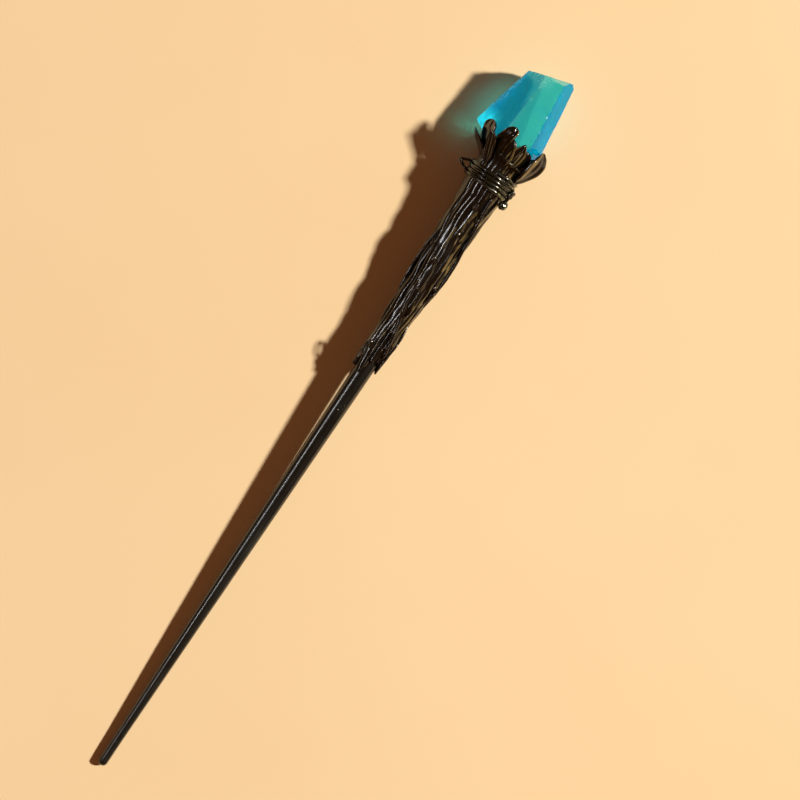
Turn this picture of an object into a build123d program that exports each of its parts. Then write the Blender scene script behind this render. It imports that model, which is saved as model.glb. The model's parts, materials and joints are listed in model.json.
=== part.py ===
from build123d import *

import math
import os

# A hand-made magic wand, lying on a table. A tapered black dowel is the shaft. Over its
# thick end runs a bundle of root-like strands, which a wound cord ties at the waist. Past
# the cord the strands spread into a crown of claws that hold a rough crystal.
#
# The wand is drawn along its own axis first: X runs from the tip's end to the crystal, and
# an angle about X is counted from the top (0) towards +Y (90). settle() then lays it down:
# the tip and the crown's two lowest claws touch the table, Z = 0.
# All sizes are millimetres, and angles are degrees.

# ---- shaft ----
TIP_RADIUS = 2.0          # the parallel stretch that fits a display stand's hole
TIP_PARALLEL = 14.0       # its length, rounded end included
SHAFT_RADIUS = 4.1        # where the shaft meets the strands, and inside them
SHAFT_EXPOSED = 199.0     # tip's end to the first strand's end
TENON_LENGTH = 68.0       # shaft hidden inside the bundle
TENON_CHAMFER = 0.6

# ---- fits ----
GLUE_LINE = 0.05          # round the tenon and the crystal's bed
SIDE_GAP = 0.12           # from a strand's side to the edge of its share of the circle
LAY_GAP = 0.25            # between pieces that are laid on each other

# ---- bundle of strands ----
GRIP_LENGTH = 93.0        # first strand's end to the waist
WAIST_LENGTH = 11.0       # straight stretch under the cord
STRAND_THICKNESS = 2.3    # radial, at full size
STRAND_ROUND = 0.6        # its outer edges are rounded by this
CORE_WALL_LEAST = 0.5     # the filler core starts where it can be this thick,
CORE_START_STEP = 0.5     # to the nearest such step
CORE_WAIST_WALL = 2.85    # filler between the tenon's radius and the strands at the waist
# Along the grip, as a share of its length: the strand's thickness as a share of its full
# one, and the filler under it as a share of that at the waist.
GRIP_SHAPE = [
    (0.00, 0.62, 0.00),
    (0.09, 0.72, 0.00),
    (0.22, 0.80, 0.02),
    (0.38, 0.87, 0.12),
    (0.55, 0.93, 0.33),
    (0.70, 0.96, 0.35),
    (0.84, 1.00, 0.47),
    (0.93, 1.00, 0.72),
    (1.00, 1.00, 1.00),
]
STRAND_CUT_CLEAR = 1.3    # the plan of a strand is this much wider than its share
FOOT_TAPER = 7.0          # length over which a strand's foot narrows
FOOT_WIDTH = 1.2          # and what is left of its width there

# ---- crown ----
CROWN_FLARE = 15.0        # waist's end to the rim
RIM_MOST = 17.0           # radius outside the claws at the rim, where it stands out most
RIM_LEAST = 12.4          # and where it stands out least
RIM_REST = 16.2           # and at the two claws that touch the table
CROWN_SHAPE = [(0.0, 0.0), (0.33, 0.28), (0.67, 0.72), (1.0, 1.0)]  # share of flare, of spread
CLAW_WIDTH = 4.6          # a claw grows no wider than this
CLAW_POINT = 1.5          # and what is left of its width there
POINT_ROUND = 0.45        # corners of the feet, points and petals
# Where along a claw it has its full width, as shares of its reach past the waist.
CLAW_FULL_FROM = 0.4
CLAW_FULL_TO = 0.65
# Each strand: its name, angle, how far past the first strand's end it starts, how far its
# claw reaches past the waist, and the radius outside it at the rim.
STRANDS = [
    ("strand_01", 88.0, 2.0, 8.6, RIM_MOST),
    ("strand_02", 55.0, 5.0, 16.2, RIM_MOST),
    ("strand_03", 23.0, 0.0, 18.0, RIM_MOST),
    ("strand_04", 2.0, 3.0, 14.2, 15.0),
    ("strand_05", -19.0, 6.0, 14.8, 14.8),
    ("strand_06", -43.0, 7.5, 12.0, 13.6),
    ("strand_07", -70.0, 5.5, 9.0, 12.6),
    ("strand_08", -98.0, 3.0, 9.0, RIM_LEAST),
    ("strand_09", -126.0, 4.5, 14.5, 15.6),
    ("strand_10", -155.0, 2.0, 15.4, RIM_REST),
    ("strand_11", 180.0, 5.0, 8.0, 14.5),
    ("strand_12", 155.0, 6.5, 15.4, RIM_REST),
    ("strand_13", 121.0, 4.0, 7.4, 16.6),
]
REST_CLAWS = ("strand_10", "strand_12")

# ---- petals tucked under the cord, outside the claws ----
PETAL_THICKNESS = 1.2
PETAL_TAPER = 4.0
PETAL_FOOT = 0.7          # width where it leaves the cord, as a share of its full width
PETAL_POINT = 0.24        # and the same at its point
PETAL_HALF_ANGLE = 60.0   # more than any petal covers
PETAL_COVERS = 36.0       # it lies on the strands that are nearer than this
PETAL_STATIONS = 6
PETAL_CURL = [(0.0, 0.0), (0.35, 0.7), (0.65, 1.0), (0.85, 0.8), (1.0, 0.4)]  # share of reach, of bulge
# name, angle, width, reach past the waist, and how far it bulges away from the claws
PETALS = [
    ("broad_petal", 39.0, 5.6, 11.0, 0.0),
    ("curled_petal", -84.0, 8.4, 14.8, 3.6),
    ("back_petal_left", 138.0, 5.0, 10.5, 0.0),
    ("back_petal_right", -141.0, 5.0, 10.0, 0.0),
]

# ---- vines that cross over the strands ----
VINE_RADIUS = 0.6
# name, share of the grip and angle where it starts, and the same where it ends
VINES = [
    ("vine_front", 0.16, -46.0, 0.60, 14.0),
    ("vine_left", 0.40, 92.0, 0.72, 58.0),
    ("vine_right", 0.50, -96.0, 0.90, -38.0),
    ("vine_back", 0.20, -150.0, 0.86, 150.0),
]
VINE_RUNS = 4
VINE_BEND = 12.0          # radius of its bends

# ---- cord round the waist ----
CORD_RADIUS = 0.9
CORD_PITCH = 1.95
CORD_TURNS = 4
KNOT_ANGLE = -82.0
KNOT_RING_RADIUS = 1.7
TAIL_KNOB_RADIUS = 2.0
TAIL_REACH = 6.4          # from the knot's centre back to the knob's centre
LOOP_ANGLE = 86.0
LOOP_RADIUS = 2.5
LOOP_CORD_RADIUS = 0.7

# ---- thread across the front claws ----
THREAD_RADIUS = 0.3
THREAD_OFFSET = 4.6       # past the waist's end
THREAD_FROM = 6.0
THREAD_TO = -58.0

# ---- crystal ----
CRYSTAL_LENGTH = 42.6     # base to point
CRYSTAL_SINK = 4.4        # waist's end to the crystal's base
CRYSTAL_CENTRE_Y = 1.5    # it sits a little to one side of the axis
BED_START = 2.2           # the bed's ends, past the waist
BED_END = 7.5
# Facets as planes: angle about X, lean towards the point, and distance from the crystal's
# centre, which is halfway along it.
CRYSTAL_FACETS = [
    (0.0, 3.0, 10.0),      # front
    (42.0, 4.0, 9.9),      # left of the front
    (-60.0, 6.0, 11.6),    # right of the front
    (90.0, 14.3, 13.95),   # left side
    (-90.0, 7.0, 12.4),    # right side
    (133.0, 5.0, 12.6),    # left of the back
    (-128.0, 5.0, 12.2),   # right of the back
    (180.0, 3.0, 9.4),     # back
    (58.0, 60.0, 19.6),    # shoulder at the left of the point
    (-90.0, 45.0, 21.1),   # shoulder at the right of the point
    (10.0, 52.0, 19.4),    # bevel at the front of the point
    (176.0, 50.0, 19.4),   # bevel at the back of the point
    (88.0, 74.0, 18.1),    # end face, which slopes to the left
    (0.0, -48.0, 18.2),    # foot, round which the bed sits
    (60.0, -60.0, 19.0),
    (104.0, -58.0, 20.3),
    (150.0, -50.0, 18.0),
    (-150.0, -50.0, 18.0),
    (-104.0, -48.0, 18.8),
    (-56.0, -50.0, 17.4),
]

# ---- places that follow from the sizes ----
WAIST_START = SHAFT_EXPOSED + GRIP_LENGTH
WAIST_END = WAIST_START + WAIST_LENGTH
WAIST_INNER = SHAFT_RADIUS + GLUE_LINE + CORE_WAIST_WALL + LAY_GAP
WAIST_OUTER = WAIST_INNER + STRAND_THICKNESS
CRYSTAL_BASE = WAIST_END + CRYSTAL_SINK
CRYSTAL_CENTRE = Vector(CRYSTAL_BASE + CRYSTAL_LENGTH / 2, CRYSTAL_CENTRE_Y, 0)
CORD_LAY_RADIUS = WAIST_OUTER + LAY_GAP + CORD_RADIUS
CORD_OUTER = CORD_LAY_RADIUS + CORD_RADIUS


def between(value, table, column):
    """The table's column at this value of its first one, straight from row to row."""
    if value <= table[0][0]:
        return table[0][column]
    for low, high in zip(table, table[1:]):
        if value <= high[0]:
            share = (value - low[0]) / (high[0] - low[0])
            return low[column] + share * (high[column] - low[column])
    return table[-1][column]


def thickness_at(x):
    """A strand's radial thickness."""
    return STRAND_THICKNESS * between((x - SHAFT_EXPOSED) / GRIP_LENGTH, GRIP_SHAPE, 1)


def inner_at(x, rim=RIM_LEAST):
    """The radius of a strand's inner side, for this radius outside it at the rim."""
    grip = between((x - SHAFT_EXPOSED) / GRIP_LENGTH, GRIP_SHAPE, 2)
    spread = between((x - WAIST_END) / CROWN_FLARE, CROWN_SHAPE, 1)
    flare = (rim - WAIST_OUTER) * spread
    return SHAFT_RADIUS + GLUE_LINE + LAY_GAP + CORE_WAIST_WALL * grip + flare


def outer_at(x, rim=RIM_LEAST):
    """The radius of a strand's crest."""
    return inner_at(x, rim) + thickness_at(x)


def rim_over(angle, reach):
    """The furthest rim of the strands that are nearer than this to an angle."""
    return max(row[4] for row in STRANDS if abs((row[1] - angle + 180) % 360 - 180) < reach)


def across(x, angle, radius):
    """A plane across the axis at this point, its x to the side and its y outwards."""
    turn = math.radians(angle)
    return Plane(
        origin=(x, radius * math.sin(turn), radius * math.cos(turn)),
        x_dir=(0, math.cos(turn), -math.sin(turn)),
        z_dir=(1, 0, 0),
    )


def stations():
    """Where the bundle's profile has its points, from its first foot to its rim."""
    grip = [SHAFT_EXPOSED + row[0] * GRIP_LENGTH for row in GRIP_SHAPE]
    crown = [WAIST_END + row[0] * CROWN_FLARE for row in CROWN_SHAPE]
    past_rim = WAIST_END + 2 * CROWN_FLARE
    return [*grip, *crown, past_rim]


def profile(low, high, places=None):
    """A face between two curves of radius along the bundle, each a function of x."""
    places = places or stations()
    under = Spline(*[(x, 0, low(x)) for x in places])
    over = Spline(*[(x, 0, high(x)) for x in places])
    ends = [Line(under @ k, over @ k) for k in (0, 1)]
    return make_face([under, over, *ends])


def sector(face, half_angle):
    """Part of a ring: the face turned about the axis, as far to each side of the top."""
    return revolve(Rot(half_angle, 0, 0) * face, Axis((0, 0, 0), (-1, 0, 0)), 2 * half_angle)


def outline(half):
    """Cutter with this plan, seen from the top: the points of one side, and their mirror."""
    face = make_face(Polyline(*half, *[(x, -y) for x, y in reversed(half)], close=True))
    face = fillet(face.vertices(), POINT_ROUND)
    return extrude(face, 2 * RIM_MOST, dir=(0, 0, 1))


def wedge(index):
    """The middle and half the width of a strand's share of the circle, in degrees."""
    angle = STRANDS[index][1]
    to_last = (STRANDS[index - 1][1] - angle) % 360
    to_next = (angle - STRANDS[(index + 1) % len(STRANDS)][1]) % 360
    return angle + (to_last - to_next) / 4, (to_last + to_next) / 4


def is_crest(edge):
    """Whether a long edge runs along the outside of the bundle."""
    middle = edge @ 0.5
    radius = math.hypot(middle.Y, middle.Z)
    return edge.length > GRIP_LENGTH and radius > inner_at(middle.X) + thickness_at(middle.X) / 2


def strand(index):
    """One root-like strand, from its foot on the shaft to the end of its claw."""
    _, _, foot, reach, rim = STRANDS[index]
    middle, half_wedge = wedge(index)
    half_angle = half_wedge - math.degrees(SIDE_GAP / SHAFT_RADIUS)
    face = profile(lambda x: inner_at(x, rim), lambda x: outer_at(x, rim))
    ring = sector(face, half_angle)
    ring = fillet(ring.edges().filter_by(is_crest), STRAND_ROUND)
    start = SHAFT_EXPOSED + foot
    end = WAIST_END + reach
    clear = STRAND_CUT_CLEAR * WAIST_OUTER * math.sin(math.radians(half_angle))
    half = [
        (start, FOOT_WIDTH / 2),
        (start + FOOT_TAPER, clear),
        (WAIST_END, clear),
        (WAIST_END + CLAW_FULL_FROM * reach, CLAW_WIDTH / 2),
        (WAIST_END + CLAW_FULL_TO * reach, CLAW_WIDTH / 2),
        (end, CLAW_POINT / 2),
    ]
    return Rot(-middle, 0, 0) * (ring & outline(half))


def petal(angle, width, reach, bulge):
    """A petal that leaves the cord on top of the claws."""
    start = WAIST_END + LAY_GAP
    end = WAIST_END + reach
    rim = rim_over(angle, PETAL_COVERS)

    def lay(x):
        """The radius of the petal's underside."""
        return outer_at(x, rim) + LAY_GAP + bulge * between((x - start) / reach, PETAL_CURL, 1)

    places = [start + reach * (k / PETAL_STATIONS) for k in range(-1, PETAL_STATIONS + 2)]
    face = profile(lay, lambda x: lay(x) + PETAL_THICKNESS, places)
    half = [
        (start, PETAL_FOOT * width / 2),
        (start + PETAL_TAPER, width / 2),
        (end - PETAL_TAPER, width / 2),
        (end, PETAL_POINT * width / 2),
    ]
    return Rot(-angle, 0, 0) * (sector(face, PETAL_HALF_ANGLE) & outline(half))


def vine(share_from, angle_from, share_to, angle_to):
    """A thin vine that winds over the strands from one angle to another."""
    if abs(angle_to - angle_from) > 180:
        angle_to -= math.copysign(360, angle_to - angle_from)
    points = []
    for k in range(VINE_RUNS + 1):
        along = k / VINE_RUNS
        x = SHAFT_EXPOSED + (share_from + along * (share_to - share_from)) * GRIP_LENGTH
        chord = math.radians((angle_to - angle_from) / VINE_RUNS)
        radius = (outer_at(x) + LAY_GAP + VINE_RADIUS) / math.cos(chord / 2)
        points.append(across(x, angle_from + along * (angle_to - angle_from), radius).origin)
    path = FilletPolyline(*points, radius=VINE_BEND)
    return sweep(Plane(origin=path @ 0, z_dir=path % 0) * Circle(VINE_RADIUS), path=path)


def turned(points):
    """A solid turned about the wand's axis from an outline of (x, radius) points."""
    outline = [(points[0][0], 0), *points, (points[-1][0], 0)]
    return revolve(make_face(Polyline(*outline, close=True)), Axis.X)


def shaft():
    """Tapered dowel: a parallel tip with a round end, a long taper and a tenon."""
    tip = Pos(TIP_RADIUS, 0, 0) * Sphere(TIP_RADIUS)
    tenon_end = SHAFT_EXPOSED + TENON_LENGTH
    body = turned(
        [
            (TIP_RADIUS, TIP_RADIUS),
            (TIP_PARALLEL, TIP_RADIUS),
            (SHAFT_EXPOSED, SHAFT_RADIUS),
            (tenon_end - TENON_CHAMFER, SHAFT_RADIUS),
            (tenon_end, SHAFT_RADIUS - TENON_CHAMFER),
        ]
    )
    return tip + body


def core_start():
    """Where the filler core begins: the first place it can have its least wall."""
    x = SHAFT_EXPOSED
    while inner_at(x) - LAY_GAP - SHAFT_RADIUS - GLUE_LINE < CORE_WALL_LEAST:
        x += CORE_START_STEP
    return x


def under_strands(start, end):
    """A solid of revolution that fills the bundle under its strands."""
    face = profile(lambda x: 0, lambda x: inner_at(x) - LAY_GAP)
    ring = revolve(face, Axis.X)
    length = end - start
    return ring & Pos(start + length / 2, 0, 0) * Box(length, 4 * RIM_MOST, 4 * RIM_MOST)


def handle_core():
    """Filler that builds the shaft out to the waist, bored for the tenon."""
    start = core_start()
    tenon_end = SHAFT_EXPOSED + TENON_LENGTH + GLUE_LINE
    bore_radius = SHAFT_RADIUS + GLUE_LINE
    bore = turned([(start - 1, bore_radius), (tenon_end, bore_radius)])
    return under_strands(start, WAIST_END + BED_START) - bore


def crystal():
    """A rough crystal: a block cut by its facets."""
    size = 4 * CRYSTAL_LENGTH
    block = Pos(*CRYSTAL_CENTRE) * Box(CRYSTAL_LENGTH, size, size)
    for angle, lean, distance in CRYSTAL_FACETS:
        turn = math.radians(angle)
        rise = math.radians(lean)
        normal = Vector(
            math.sin(rise),
            math.cos(rise) * math.sin(turn),
            math.cos(rise) * math.cos(turn),
        )
        cut = Plane(origin=CRYSTAL_CENTRE + normal * distance, z_dir=normal)
        block = split(block, bisect_by=cut, keep=Keep.BOTTOM)
    return block


def crystal_bed(gem):
    """Putty between the core's end and the crystal's foot."""
    return under_strands(WAIST_END + BED_START + GLUE_LINE, WAIST_END + BED_END) - gem


def binding_cord():
    """One cord wound round the waist."""
    length = CORD_PITCH * CORD_TURNS
    path = Helix(pitch=CORD_PITCH, height=length, radius=CORD_LAY_RADIUS)
    section = Plane(origin=path @ 0, z_dir=path % 0) * Circle(CORD_RADIUS)
    coil = sweep(section, path=path, is_frenet=True)
    start = WAIST_START + (WAIST_LENGTH - length) / 2
    return Pos(start, 0, 0) * Rot(0, 90, 0) * Rot(0, 0, KNOT_ANGLE) * coil


def outwards(x, angle, radius):
    """A plane at this point that faces away from the axis, its x along the wand."""
    turn = math.radians(angle)
    out = Vector(0, math.sin(turn), math.cos(turn))
    return Plane(origin=Vector(x, 0, 0) + out * radius, x_dir=(1, 0, 0), z_dir=out)


def binding_knot():
    """The cord's knot: a ring of cord that lies on the winding."""
    middle = WAIST_START + WAIST_LENGTH / 2
    seat = outwards(middle, KNOT_ANGLE, CORD_OUTER + LAY_GAP + CORD_RADIUS)
    return seat * Torus(KNOT_RING_RADIUS, CORD_RADIUS)


def binding_tail():
    """The cord's end, which runs back from the knot to a knob."""
    middle = WAIST_START + WAIST_LENGTH / 2
    seat = outwards(middle, KNOT_ANGLE, CORD_OUTER + LAY_GAP + CORD_RADIUS)
    start = -(KNOT_RING_RADIUS + CORD_RADIUS + LAY_GAP)
    length = TAIL_REACH + start
    tail = Pos(start - length / 2, 0, 0) * Rot(0, 90, 0) * Cylinder(CORD_RADIUS, length)
    knob = Pos(-TAIL_REACH, 0, 0) * Sphere(TAIL_KNOB_RADIUS)
    return seat * (tail + knob)


def binding_loop():
    """A loop of cord that stands out of the winding."""
    middle = WAIST_START + WAIST_LENGTH / 2
    seat = outwards(middle, LOOP_ANGLE, CORD_OUTER + LAY_GAP)
    ring = Rot(90, 0, 0) * Torus(LOOP_RADIUS, LOOP_CORD_RADIUS)
    return seat * split(ring, bisect_by=Plane.XY, keep=Keep.TOP)


def thread():
    """A thin thread laid across the front claws."""
    x = WAIST_END + THREAD_OFFSET
    rim = rim_over((THREAD_FROM + THREAD_TO) / 2, (THREAD_FROM - THREAD_TO) / 2)
    radius = outer_at(x, rim) + LAY_GAP + THREAD_RADIUS
    section = outwards(x, THREAD_FROM, radius) * Rot(90, 0, 0) * Circle(THREAD_RADIUS)
    return revolve(section, Axis.X, THREAD_FROM - THREAD_TO)


def wand():
    """Every piece by name, along the wand's own axis."""
    pieces = {"shaft": shaft(), "handle_core": handle_core()}
    for index, row in enumerate(STRANDS):
        pieces[row[0]] = strand(index)
    for name, *sizes in PETALS:
        pieces[name] = petal(*sizes)
    for name, *sizes in VINES:
        pieces[name] = vine(*sizes)
    pieces["crystal"] = crystal()
    pieces["crystal_bed"] = crystal_bed(pieces["crystal"])
    pieces["binding_cord"] = binding_cord()
    pieces["binding_knot"] = binding_knot()
    pieces["binding_tail"] = binding_tail()
    pieces["binding_loop"] = binding_loop()
    pieces["thread"] = thread()
    return pieces


def settle(pieces):
    """Lays the wand down: tip and lowest claws on the table, middle over the origin."""
    lean = 0.0
    for _ in range(5):
        tilted = [Rot(0, -lean, 0) * pieces[name] for name in REST_CLAWS]
        low = min(tilted, key=lambda solid: solid.bounding_box().min.Z).bounding_box()
        tip_low = TIP_RADIUS * (math.sin(math.radians(lean)) - 1)
        span = low.center().X - TIP_RADIUS
        lean += math.degrees(math.atan((tip_low - low.min.Z) / span))
    laid = {name: Rot(0, -lean, 0) * solid for name, solid in pieces.items()}
    boxes = [solid.bounding_box() for solid in laid.values()]
    middle = [
        (min(box.min.X for box in boxes) + max(box.max.X for box in boxes)) / 2,
        (min(box.min.Y for box in boxes) + max(box.max.Y for box in boxes)) / 2,
    ]
    floor = min(box.min.Z for box in boxes)
    shift = Pos(-middle[0], -middle[1], -floor)
    print("lean", round(lean, 4), "tip end moved to", (shift * Rot(0, -lean, 0)).position)
    return {name: shift * solid for name, solid in laid.items()}


def main():
    os.makedirs("parts", exist_ok=True)
    for name, solid in settle(wand()).items():
        export_step(solid, f"parts/{name}.step")


main()
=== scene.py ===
import json
import math

import bmesh
import bpy
from mathutils import Matrix, Vector, noise


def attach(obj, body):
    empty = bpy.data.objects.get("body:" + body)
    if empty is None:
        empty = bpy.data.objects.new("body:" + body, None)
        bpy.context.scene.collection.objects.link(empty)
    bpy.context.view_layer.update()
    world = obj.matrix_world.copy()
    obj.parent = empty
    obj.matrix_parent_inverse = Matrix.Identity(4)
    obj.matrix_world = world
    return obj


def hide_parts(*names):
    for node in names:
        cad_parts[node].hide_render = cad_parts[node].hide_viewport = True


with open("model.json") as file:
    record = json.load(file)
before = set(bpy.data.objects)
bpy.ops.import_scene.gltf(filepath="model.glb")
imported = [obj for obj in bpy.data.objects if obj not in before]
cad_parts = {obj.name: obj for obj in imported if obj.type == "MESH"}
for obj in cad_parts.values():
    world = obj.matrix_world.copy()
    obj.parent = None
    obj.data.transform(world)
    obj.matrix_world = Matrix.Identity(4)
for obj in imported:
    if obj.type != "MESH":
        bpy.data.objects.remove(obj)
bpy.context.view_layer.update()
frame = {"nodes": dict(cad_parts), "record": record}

# A hand-made magic wand on a pale table: a lacquered dowel, a handle of root-like strands tied
# with cord, and a rough aqua crystal held by the strands' claws.
#
# Places on the wand are given as (x, angle, radius): millimetres from the tip's end, degrees
# about the wand's axis from the top (0) towards +Y (90), and millimetres out from the axis.

MM = 0.001

# ---- the wand's axis, from its mounts ----
PIN_FROM_TIP = 8.0
mounts = {mount["name"]: mount for mount in frame["record"]["mounts"]}
ALONG = -Vector(mounts["tip_pin"]["axis"]).normalized()
SIDE = Vector((0, 1, 0))
UP = ALONG.cross(SIDE)
TIP = Vector(mounts["tip_pin"]["pos_m"]) - ALONG * PIN_FROM_TIP * MM


def span(node):
    """Where a CAD node starts and ends along the wand, in mm from the tip."""
    places = [(vertex.co - TIP).dot(ALONG) / MM for vertex in frame["nodes"][node].data.vertices]
    return min(places), max(places)


def out_at(angle):
    """The direction away from the axis at this angle."""
    turn = math.radians(angle)
    return SIDE * math.sin(turn) + UP * math.cos(turn)


def spot(x, angle, radius):
    """A place on the wand, in metres."""
    return TIP + ALONG * (x * MM) + out_at(angle) * (radius * MM)


# ---- sizes in mm, and angles in degrees ----
GRIP_START = span("strand_03")[0]
WAIST_MIDDLE = sum(span("binding_cord")) / 2
HALF_WAIST = 5.5
WAIST_START = WAIST_MIDDLE - HALF_WAIST
WAIST_END = WAIST_MIDDLE + HALF_WAIST
TIP_RADIUS = mounts["tip_pin"]["dims"]["r_mm"]
SHAFT_RADIUS = 4.1
SHAFT_HIDDEN = 40         # how far the shaft runs on inside the handle
SHAFT_HIDDEN_END = GRIP_START + SHAFT_HIDDEN
# Outside of the bundle: x past its start as a share of the grip, and radius.
GRIP_OUTSIDE = [
    (0.00, 5.75),
    (0.09, 6.05),
    (0.22, 6.30),
    (0.38, 6.75),
    (0.48, 6.95),
    (0.58, 7.45),
    (0.70, 7.70),
    (0.84, 8.15),
    (0.93, 8.85),
    (1.00, 9.50),
]
SWAY = 7.0                # how far a strand wanders to each side, in degrees
SWAY_LENGTH = 58.0
BARK_DEPTH = 0.36
USUAL_RIM = 1.1           # how far the edges of claws and petals are raised
STEP = 0.5                # along a strand, from ring to ring
SECTION_POINTS = 28       # round a strand

# Each strand: angle, foot and tip (x), radius of its tip, widths of strand and claw,
# how far the tip hooks inwards and turns sideways, and whether it ends in a point.
STRANDS = {
    "strand_01": (80, 2.0, 312.6, 17.8, 4.3, 10.0, 0.0, -3.0, True),
    "strand_02": (57, 5.0, 319.1, 16.9, 4.7, 7.4, 1.6, -1.0, False),
    "strand_03": (24, 0.0, 321.6, 16.6, 4.2, 5.0, 2.2, -13.0, False),
    "strand_04": (3, 3.0, 317.0, 14.9, 3.5, 5.2, 1.0, 2.0, False),
    "strand_05": (-18, 6.0, 317.6, 14.6, 3.7, 5.0, 1.0, -2.0, True),
    "strand_06": (-42, 7.5, 315.6, 13.5, 4.0, 5.4, 0.8, 6.0, False),
    "strand_07": (-68, 5.5, 312.6, 12.8, 4.2, 5.2, 0.5, 0.0, True),
    "strand_08": (-97, 3.0, 312.0, 12.5, 4.4, 5.4, 0.4, 3.0, False),
    "strand_09": (-125, 4.5, 317.3, 15.4, 4.3, 5.4, 1.0, -4.0, False),
    "strand_10": (-154, 2.0, 318.35, 16.1, 4.2, 5.4, 0.0, 2.0, False),
    "strand_11": (180, 5.0, 311.0, 14.3, 3.9, 5.0, 0.6, 0.0, True),
    "strand_12": (154, 6.5, 318.35, 16.1, 4.2, 5.4, 0.0, -2.0, False),
    "strand_13": (121, 4.0, 312.4, 16.0, 4.4, 5.4, 0.5, 3.0, True),
}


# ---------------------------------------------------------------- shaping helpers

def blend(low, high, share):
    return low + (high - low) * share


def ease(share):
    """0 to 1 with soft ends."""
    share = max(0.0, min(1.0, share))
    return share * share * (3 - 2 * share)


def between(value, table):
    """A smooth reading of a table of (place, size) rows."""
    if value <= table[0][0]:
        return table[0][1]
    for low, high in zip(table, table[1:]):
        if value <= high[0]:
            share = (value - low[0]) / (high[0] - low[0])
            return blend(low[1], high[1], ease(share))
    return table[-1][1]


def grain(a, b=0.0, c=0.0):
    """Smooth noise from -1 to 1."""
    return noise.noise(Vector((a, b, c)))


def bundle_outside(x):
    """The crests' radius along the grip and the waist."""
    share = (x - GRIP_START) / (WAIST_START - GRIP_START)
    return between(share, GRIP_OUTSIDE)


def under_cord(x):
    """1 away from the cord, falling to 0 under it."""
    return ease((abs(x - WAIST_MIDDLE) - 5.0) / 5.0)


def curve_through(rows, count):
    """Rows of numbers along a smooth curve through the given rows."""
    last = len(rows) - 1
    done = []
    for k in range(count + 1):
        place = last * k / count
        i = min(int(place), last - 1)
        t = place - i
        four = [rows[max(0, min(last, i + d))] for d in (-1, 0, 1, 2)]
        row = []
        for p0, p1, p2, p3 in zip(*four):
            slope = (p2 - p0) / 2
            slope_next = (p3 - p1) / 2
            t2 = t * t
            t3 = t2 * t
            row.append(
                (2 * t3 - 3 * t2 + 1) * p1
                + (t3 - 2 * t2 + t) * slope
                + (3 * t2 - 2 * t3) * p2
                + (t3 - t2) * slope_next
            )
        done.append(row)
    return done


class Shell:
    """Points and faces of one or more closed skins, with each point's height as its crest."""

    def __init__(self):
        self.points = []
        self.faces = []
        self.crest = []

    def skin(self, rings, crests):
        """Adds a closed skin over rings of points, in order along the piece."""
        base = len(self.points)
        count = len(rings[0])
        for ring, crest in zip(rings, crests):
            self.points.extend(ring)
            self.crest.extend(crest)
        for i in range(len(rings) - 1):
            for j in range(count):
                a = base + i * count + j
                b = base + i * count + (j + 1) % count
                self.faces.append((a, b, b + count, a + count))
        for first, turned in ((0, True), (len(rings) - 1, False)):
            centre = len(self.points)
            self.points.append(sum(rings[first], Vector()) / count)
            self.crest.append(sum(crests[first]) / count)
            for j in range(count):
                a = base + first * count + j
                b = base + first * count + (j + 1) % count
                self.faces.append((b, a, centre) if turned else (a, b, centre))

    def piece(self, name, material, slot, *nodes):
        """The finished piece, which stands for these CAD nodes."""
        mesh = bpy.data.meshes.new(name)
        mesh.from_pydata([tuple(point) for point in self.points], [], self.faces)
        mesh.attributes.new("crest", "FLOAT", "POINT").data.foreach_set("value", self.crest)
        mesh.polygons.foreach_set("use_smooth", [True] * len(mesh.polygons))
        mesh.materials.append(material)
        made = bpy.data.objects.new(name, mesh)
        bpy.context.scene.collection.objects.link(made)
        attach(made, "root")
        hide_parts(*nodes)


def bar(shell, stations, relief, rim, count):
    """Skins a flat or round bar that runs along the wand. Each station is (x, angle, radius of
    its middle, half width, half thickness, cup, rim share). The rim is a raised edge on its
    outside, with a hollow along each side of its middle vein."""
    rings, crests = [], []
    for x, angle, radius, width, thick, cup, edge in stations:
        out = out_at(angle)
        turn = math.radians(angle)
        side = SIDE * math.cos(turn) - UP * math.sin(turn)
        middle = TIP + ALONG * (x * MM) + out * (radius * MM)
        ring, crest = [], []
        for k in range(count):
            phi = math.tau * k / count
            across = math.cos(phi)
            high = math.sin(phi)
            lift = relief(x, across, high)
            leaf = 0.75 * abs(across) ** 5 - 0.35 * math.sin(math.pi * abs(across)) ** 2
            raised = edge * rim * thick * (leaf + 0.12 * math.cos(9 * across)) if high > 0 else 0.0
            u = width * across + lift * across
            v = thick * high + lift * high + raised - cup * across * across
            ring.append(middle + side * (u * MM) + out * (v * MM))
            top = 0.42 * high * (1 - 0.62 * edge * (1 - across * across))
            crest.append(max(0.0, min(1.0, 0.5 + top + 0.9 * lift + 1.5 * raised)))
        rings.append(ring)
        crests.append(crest)
    shell.skin(rings, crests)


def wire(shell, points, radius_at, relief, count):
    """Skins a round wire along points in metres, with count points round it. radius_at takes the
    share of its length, and relief that share and the angle round the wire."""
    start = (points[1] - points[0]).normalized()
    normal = start.orthogonal().normalized()
    rings, crests = [], []
    last = len(points) - 1
    for i, point in enumerate(points):
        ahead = points[min(i + 1, last)] - points[max(i - 1, 0)]
        ahead.normalize()
        normal = (normal - ahead * normal.dot(ahead)).normalized()
        other = ahead.cross(normal)
        share = i / last
        radius = radius_at(share)
        ring, crest = [], []
        for k in range(count):
            phi = math.tau * k / count
            lift = relief(share, phi)
            reach = (radius + lift) * MM
            ring.append(point + normal * (reach * math.cos(phi)) + other * (reach * math.sin(phi)))
            crest.append(max(0.0, min(1.0, 0.72 + 1.5 * lift)))
        rings.append(ring)
        crests.append(crest)
    shell.skin(rings, crests)


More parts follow.
